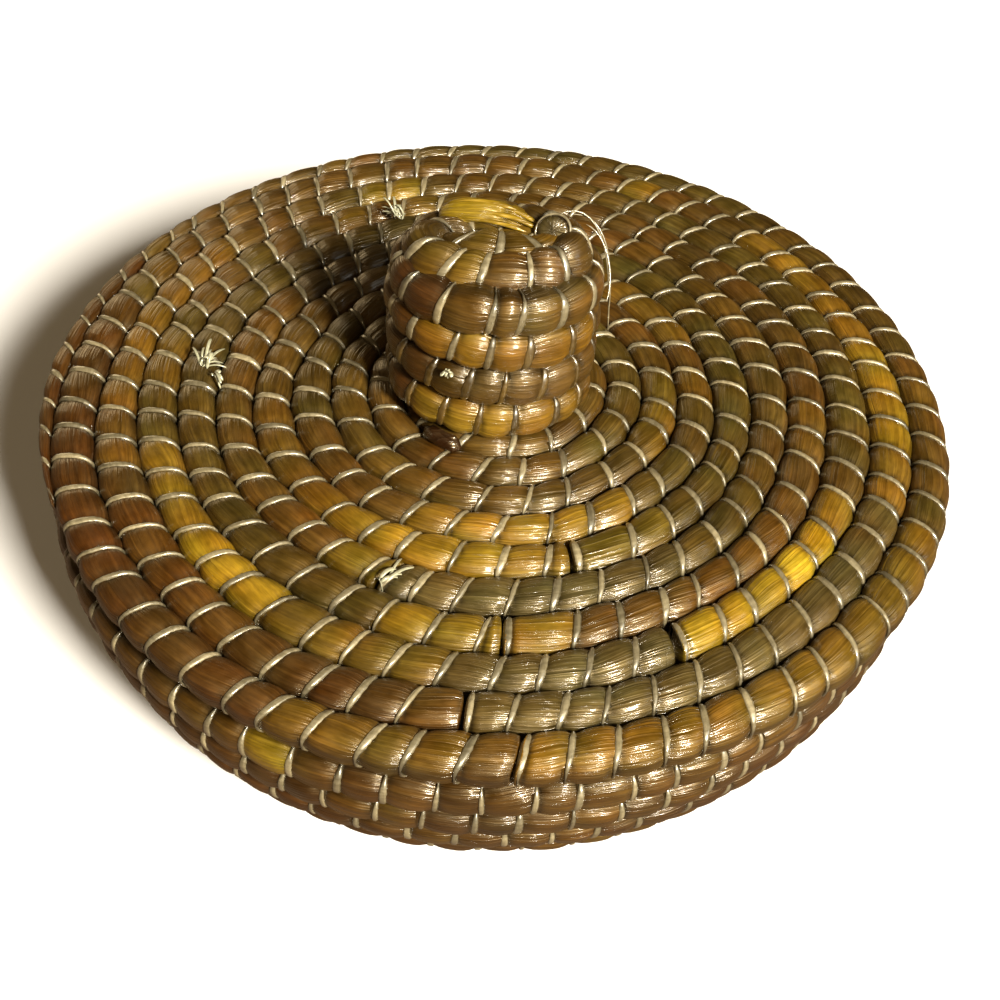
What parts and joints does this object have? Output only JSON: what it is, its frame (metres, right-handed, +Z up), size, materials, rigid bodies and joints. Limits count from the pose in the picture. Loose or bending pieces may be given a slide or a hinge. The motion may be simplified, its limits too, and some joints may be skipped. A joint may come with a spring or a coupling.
{
  "type": "coiled lidded basket",
  "caption": "Round coiled-grass basket with curved walls and a domed lift-off coiled lid that carries a tall oval coiled knob.",
  "frame": {"origin": "on the table under the middle of the basket's floor", "axes": "+Z up through the floor, the rim and the lid; -Y is the front, which the picture faces; +X to the right"},
  "size_m": [0.2644, 0.2622, 0.1396],
  "materials": {
    "olive_coil": "lacquered dry grass, olive brown, glossy, streaked along the coil",
    "brown_coil": "lacquered dry grass, reddish brown, glossy, streaked along the coil",
    "golden_coil": "lacquered dry grass, golden brown, glossy, streaked along the coil",
    "dark_coil": "lacquered dry grass, dark brown, glossy, streaked along the coil",
    "straw_bundle": "bright straw yellow, glossy",
    "stitching": "pale flat strips of leaf, glossy"
  },
  "bodies": {
    "basket": {"base_coil": "olive_coil", "foot_coil": "brown_coil", "lower_wall_coil": "brown_coil", "upper_wall_coil": "olive_coil", "rim_coil": "brown_coil"},
    "lid": {"lid_inner_coil": "olive_coil", "lid_middle_coil": "golden_coil", "lid_outer_coil": "olive_coil", "lid_edge_coil": "brown_coil", "locating_coil": "olive_coil", "knob_top_coil": "dark_coil", "knob_side_coil": "golden_coil", "knob_start_bundle": "straw_bundle"}
  },
  "joints": [
    {"name": "lid_lift", "type": "slide", "parent": "basket", "child": "lid", "axis": [0, 0, 1], "range_m": [0, 0.12]}
  ]
}
